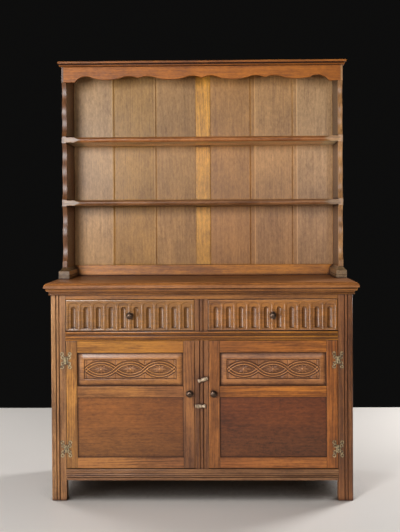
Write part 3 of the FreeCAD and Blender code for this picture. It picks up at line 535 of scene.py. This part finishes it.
# drawer fronts: an arcade of ten sunk bays, each with a round-headed flute
fluteCut = {
    "count": 10, "margin": 0.0295, "half": 0.0095, "foot": 0.0100, "head": 0.0940, "deep": 0.0088,
    "footRise": (-0.0010, 0.0025),
    "pilaster": 0.0036, "bayFoot": 0.0062, "spring": 0.1000, "crown": 0.1110, "archFall": 0.009,
    "sink": 0.0017, "wall": 0.0017,
    "endGap": 0.0002, "ease": 0.0012, "easeDrop": 0.0009,
    # wax and painted shade: a dark line round each arch at its step, and the deep part of the flutes
    "line": 0.9, "lineLow": -0.0002, "lineShare": 1.4, "lineFoot": -0.002, "waxAndShadeDepth": (0.0025, 0.0065),
    # grid: fine at the edges, then heights above the foot with the step from there on
    "edgeBand": 0.0015, "edgeStep": 0.0006, "columnStep": 0.0010,
    "rowSteps": [(0.0015, 0.002), (0.007, 0.0008), (0.0135, 0.006), (0.082, 0.0011), (0.115, 0.002)],
}


def drawerRelief(low, high):
    cut = fluteCut
    pitch = (high.x - low.x - 2 * cut["margin"]) / (cut["count"] - 1)
    bayHalf = pitch / 2 - cut["pilaster"]
    footLow, footHigh = (cut["foot"] + rise for rise in cut["footRise"])

    def relief(x, z):
        up = z - low.z
        fromFirst = x - low.x - cut["margin"]
        flute = min(cut["count"] - 1, max(0, round(fromFirst / pitch)))
        side = abs(fromFirst - flute * pitch)
        # the bay: straight sides under a low round arch, so that the arches meet in cusps
        rise = up - cut["spring"]
        if rise <= 0:
            inside = min(bayHalf - side, up - cut["bayFoot"])
        else:
            archRise = cut["crown"] - cut["spring"]
            inside = (1 - math.hypot(side / bayHalf, rise / archRise)) * cut["archFall"]
        depth = cut["sink"] * ramp(inside, 0.0, cut["wall"])
        # the gouge: steep walls, a round head and a square foot
        over = up - (cut["head"] - cut["half"])
        spread = math.hypot(side, over) if over > 0 else side
        if spread < cut["half"] and up > footLow:
            depth = max(depth, cut["deep"] * dome(spread / cut["half"]) * ramp(up, footLow, footHigh))
        waxAndShade = ramp(depth, *cut["waxAndShadeDepth"])
        if rise > cut["lineFoot"]:
            across = ramp(inside, cut["lineLow"], cut["wall"] * cut["lineShare"])
            waxAndShade = max(waxAndShade, cut["line"] * (1 - abs(2 * across - 1)))
        edge = min(x - low.x, high.x - x, z - low.z, high.z - z)
        return depth + cut["easeDrop"] * (1 - ramp(edge, 0.0, cut["ease"])), waxAndShade

    return relief


for side in ("left", "right"):
    node = side + "_drawer_front"
    low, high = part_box(node)
    low.x += fluteCut["endGap"]
    high.x -= fluteCut["endGap"]
    edgeBand, edgeStep = fluteCut["edgeBand"], fluteCut["edgeStep"]
    columns = stations([(low.x, edgeStep), (low.x + edgeBand, fluteCut["columnStep"]),
                        (high.x - edgeBand, edgeStep), (high.x, 0)])
    rowStops = [(low.z + up, step) for up, step in fluteCut["rowSteps"]]
    rows = stations([(low.z, edgeStep)] + rowStops + [(high.z - edgeBand, edgeStep), (high.z, 0)])
    piece = reliefSlab(side + "FlutedFront", columns, rows, low.y, high.y, drawerRelief(low, high))
    fitCarving(piece, node, side + "_drawer")

# door panels: bevelled border, sunk ground, three interlaced ovals with a flower in each
strapCut = {
    "ovals": 3, "tongue": 0.008, "lap": 0.004, "margin": 0.027, "bevel": 0.022, "fall": 0.0058,
    "sink": 0.0040, "wall": 0.0009,
    # straps: two reeds with a hollow between, and a dip where one runs under the other
    "half": 0.0072, "reedShare": 0.32, "reed": 0.0030, "rise": 0.0007, "endMargin": 0.0088,
    "topMargin": 0.0080, "dip": 0.0016, "dipReach": (0.004, 0.012), "tailShare": 1.5, "crossShare": 0.9,
    # flower: a petal's reach and half width, then its section with a vein down the middle
    "longPetal": (0.031, 0.0052), "shortPetal": (0.0165, 0.0048), "slantPetal": (0.024, 0.0045),
    "slant": 0.66, "petalStartShare": 0.1, "petalSwell": 0.8, "petalRise": 0.0007, "petalCrown": 0.0015,
    "vein": 0.0016, "veinDepth": 0.0011, "boss": 0.0062, "bossRise": 0.0034,
    # leaves in the corners
    "leafGap": 0.0026, "leafSlope": 0.002, "leafRim": (0.001, 0.0032), "leafRise": 0.0024,
    "leafGroove": 0.0013, "leafGrooves": 9, "grooveSharp": 4,
    # wax and painted shade on the ground, and crowns rubbed pale with a painted highlight
    "groundHeight": (0.0006, 0.0028), "crownHeight": (0.0026, 0.0036),
    # grid steps: lap, bevelled border, its inner edge, carved field
    "lapStep": 0.004, "borderStep": 0.011, "edgeStep": 0.0022, "fieldStep": 0.0008, "fieldLap": 0.0006,
}
far = 1.0  # metres, further than any strap is away


def panelRelief(low, high, over):
    cut = strapCut
    midX, midZ = (low.x + high.x) / 2, (low.z + high.z) / 2
    halfX = (high.x - low.x) / 2 - cut["margin"]
    halfZ = (high.z - low.z) / 2 - cut["margin"]
    pitch = 2 * (halfX - cut["endMargin"]) / cut["ovals"]
    swell = halfZ - cut["topMargin"] - cut["half"]
    radius = ((pitch / 2) ** 2 + swell ** 2) / (2 * swell)
    drop = radius - swell
    lastOval = cut["ovals"] - 1
    cosSlant, sinSlant = math.cos(cut["slant"]), math.sin(cut["slant"])

    def fromMiddle(side, oval):
        return side - (oval - lastOval / 2) * pitch

    def strap(across, up, way):
        # how far a point is from one arc of an oval; way is 1 for the upper arc
        if up * way < -cut["half"] * cut["tailShare"]:
            return far
        return abs(math.hypot(across, up * way + drop) - radius)

    def strapHeight(away):
        lobe = (away / cut["half"] - 1 + cut["reedShare"]) / cut["reedShare"]
        return cut["rise"] + cut["reed"] * dome(lobe)

    def petal(along, off, reach, wide):
        share = along / reach
        if not cut["petalStartShare"] < share < 1:
            return 0.0
        half = wide * math.sin(math.pi * share ** cut["petalSwell"])
        if abs(off) >= half:
            return 0.0
        vein = cut["veinDepth"] * max(0.0, 1 - abs(off) / (cut["vein"] / 2))
        return cut["petalRise"] + cut["petalCrown"] * dome(off / half) - vein

    def flower(across, up):
        # two long petals, two short ones, four small ones between and a boss
        along = abs(across) * cosSlant + abs(up) * sinSlant
        off = abs(up) * cosSlant - abs(across) * sinSlant
        return max(petal(abs(across), up, *cut["longPetal"]), petal(abs(up), across, *cut["shortPetal"]),
                   petal(along, off, *cut["slantPetal"]),
                   cut["bossRise"] * dome(math.hypot(across, up) / cut["boss"]))

    def leaf(side, up, nearest):
        # grooved outwards from the crossing
        crossing = round(side / pitch + cut["ovals"] / 2) - cut["ovals"] / 2
        fan = math.atan2(side - crossing * pitch, abs(up))
        rim = min(halfX - abs(side), halfZ - abs(up))
        full = ramp(nearest - cut["half"] - cut["leafGap"], 0, cut["leafSlope"])
        full *= ramp(rim, *cut["leafRim"])
        groove = max(0.0, math.cos(fan * cut["leafGrooves"])) ** cut["grooveSharp"]
        return full * (cut["leafRise"] - cut["leafGroove"] * groove)

    def straps(side, up, oval):
        # the height of the straps at a point, and how far the nearest one is
        height = 0.0
        nearest = far
        for other in range(max(0, oval - 1), min(lastOval, oval + 1) + 1):
            across = fromMiddle(side, other)
            if abs(across) > pitch / 2 + cut["half"] * cut["crossShare"]:
                continue
            outer = (other == 0 and across < 0) or (other == lastOval and across > 0)
            for way in (1, -1):
                away = strap(across, up, way)
                nearest = min(nearest, away)
                if away >= cut["half"]:
                    continue
                # the strand that runs under dips where the two cross
                rising = (across > 0) != (way > 0)
                crossing = math.hypot(abs(across) - pitch / 2, up)
                under = rising != over and not outer
                dip = cut["dip"] * (1 - ramp(crossing, *cut["dipReach"])) if under else 0.0
                height = max(height, strapHeight(away) - dip)
        return height, nearest

    def relief(x, z):
        side, up = x - midX, z - midZ
        if abs(side) > halfX or abs(up) > halfZ:
            fromEdge = min((high.x - low.x) / 2 - abs(side), (high.z - low.z) / 2 - abs(up))
            return cut["fall"] * (1 - min(1.0, max(0.0, fromEdge / cut["bevel"]))), 0.0
        oval = min(lastOval, max(0, math.floor((side + pitch * cut["ovals"] / 2) / pitch)))
        height, nearest = straps(side, up, oval)
        across = fromMiddle(side, oval)
        if math.hypot(across, abs(up) + drop) < radius:
            height = max(height, flower(across, up))
        elif nearest > cut["half"] + cut["leafGap"]:
            height = leaf(side, up, nearest)
        wall = ramp(min(halfX - abs(side), halfZ - abs(up)), 0.0, cut["wall"])
        waxAndShade = 1 - ramp(height, *cut["groundHeight"]) - ramp(height, *cut["crownHeight"])
        return (cut["sink"] - height) * wall, waxAndShade

    return relief


def panelLines(low, high):
    cut = strapCut
    inset = cut["margin"] - cut["fieldLap"]
    return stations([
        (low - cut["lap"], cut["lapStep"]), (low, cut["borderStep"]), (low + cut["bevel"], cut["edgeStep"]),
        (low + inset, cut["fieldStep"]), (high - inset, cut["edgeStep"]),
        (high - cut["bevel"], cut["borderStep"]), (high, cut["lapStep"]), (high + cut["lap"], 0)])


for side, over in (("left", True), ("right", False)):
    node = side + "_door_carved_panel"
    low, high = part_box(node)
    tongue = Vector((strapCut["tongue"], 0.0, strapCut["tongue"]))
    low = low + tongue
    high = high - tongue
    columns = panelLines(low.x, high.x)
    rows = panelLines(low.z, high.z)
    piece = reliefSlab(side + "CarvedPanel", columns, rows, low.y, high.y, panelRelief(low, high, over))
    fitCarving(piece, node, side + "_door")

# pale floor, which ends behind the dresser as in the photograph, with a painted shadow darkening it under
# the dresser
floorLook = {
    "half": 5.0, "front": -6.0, "back": 1.46, "squares": 8, "rough": 0.5,
    "tone": (0.80, 0.755, 0.71), "mottle": ((1.3, 1.3, 1.3), 3.0, 0.5),
    "mottleDark": 0.96, "mottlePale": 1.04,
    "under": (0.040, 0.029, 0.021), "paintedShadowReach": (0.2, 8), "paintedShadowBand": (0.36, 0.63),
}
bm = bmesh.new()
bmesh.ops.create_grid(bm, x_segments=floorLook["squares"], y_segments=floorLook["squares"], size=1.0)
for v in bm.verts:
    v.co.x *= floorLook["half"]
    v.co.y = floorLook["front"] + (floorLook["back"] - floorLook["front"]) * (v.co.y + 1) / 2
floorMesh = bpy.data.meshes.new("studioFloor")
bm.to_mesh(floorMesh)
bm.free()
studioFloor = bpy.data.objects.new("studioFloor", floorMesh)
scene.collection.objects.link(studioFloor)
material, wire, shader = newMaterial("paleFloor")
place = wire.node("ShaderNodeTexCoord", {}, {}, "Object")
mottleTones = [tinted(floorLook["tone"], (floorLook[end],) * 3) for end in ("mottleDark", "mottlePale")]
pale = wire.mix(wire.noise(place, *floorLook["mottle"]), *mottleTones)
# painted shadow: the floor's colour darkens where the dresser shades it
under = wire.hidden(*floorLook["paintedShadowReach"]).band(*floorLook["paintedShadowBand"])
plug(wire.mix(under, pale, rgb(floorLook["under"])), shader, "Base Color")
shader.inputs["Roughness"].default_value = floorLook["rough"]
floorMesh.materials.append(material)
print("floor laid")

# studio light: a soft key left of the camera with a low panel further left, two weak fills, two rims from
# behind and one lamp overhead
lamps = {
    "keySoftbox": {"at": (-1.07, -2.72, 1.52), "to": (0.0, 0.0, 1.45), "size": (0.65, 0.80), "power": 66.0},
    "leftPanel": {"at": (-2.35, -1.9, 0.36), "to": (0.2, -0.2, 0.30), "size": (1.5, 0.6), "power": 3.2,
                  "spread": 45.0},
    "fillSoftbox": {"at": (0.95, -2.65, 1.46), "to": (0.2, 0.0, 1.20), "size": (0.24, 0.75), "power": 5.0},
    "frontSoftbox": {"at": (0.5, -4.9, 1.6), "to": (0.0, 0.0, 1.5), "size": (2.2, 1.2), "power": 24.0},
    "leftRim": {"at": (-2.3, 1.25, 1.5), "to": (0.0, -0.3, 0.6), "size": (0.8, 1.2), "power": 26.0},
    "rightRim": {"at": (2.3, 1.35, 1.5), "to": (0.0, -0.3, 0.6), "size": (0.8, 1.2), "power": 74.0},
    "overhead": {"at": (0.0, -0.6, 4.6), "to": (0.0, 0.0, 0.8), "size": (3.0, 2.5), "power": 9.0},
}
fullSpread = 180.0
for name, lamp in lamps.items():
    data = bpy.data.lights.new(name, "AREA")
    data.shape = "RECTANGLE"
    data.size, data.size_y = lamp["size"]
    data.energy = lamp["power"]
    data.spread = math.radians(lamp.get("spread", fullSpread))
    light = bpy.data.objects.new(name, data)
    light.location = lamp["at"]
    light.rotation_euler = (Vector(lamp["to"]) - Vector(lamp["at"])).to_track_quat("-Z", "Y").to_euler()
    scene.collection.objects.link(light)
roomLook = {"tone": (0.66, 0.65, 0.63), "strength": 0.0065}
world = bpy.data.worlds.new("darkRoom")
scene.world = world
world.use_nodes = True
background = world.node_tree.nodes["Background"]
background.inputs["Color"].default_value = rgb(roomLook["tone"])
background.inputs["Strength"].default_value = roomLook["strength"]
scene.view_settings.view_transform = "Standard"
print("studio lit by", len(lamps), "lights")

# camera at the photograph's place, with its framing in the photograph's pixels
photoView = {"wide": 400, "high": 532, "focal": 860.9, "centre": (209.29, 231.64), "sensor": 36.0,
             "place": (0.0946, -3.5401, 1.0874), "yaw": 1.06, "level": 90.0, "pitch": -0.711,
             "roll": -0.32}
cameraData = bpy.data.cameras.new("photoCamera")
cameraData.sensor_width = photoView["sensor"]
cameraData.lens = photoView["focal"] * photoView["sensor"] / photoView["high"]
cameraData.shift_x = (photoView["wide"] / 2 - photoView["centre"][0]) / photoView["high"]
cameraData.shift_y = (photoView["centre"][1] - photoView["high"] / 2) / photoView["high"]
photoCamera = bpy.data.objects.new("photoCamera", cameraData)
turn = (Matrix.Rotation(math.radians(photoView["yaw"]), 4, "Z")
        @ Matrix.Rotation(math.radians(photoView["level"] + photoView["pitch"]), 4, "X")
        @ Matrix.Rotation(math.radians(photoView["roll"]), 4, "Z"))
photoCamera.matrix_world = Matrix.Translation(photoView["place"]) @ turn
scene.collection.objects.link(photoCamera)
scene.camera = photoCamera
print("camera placed")
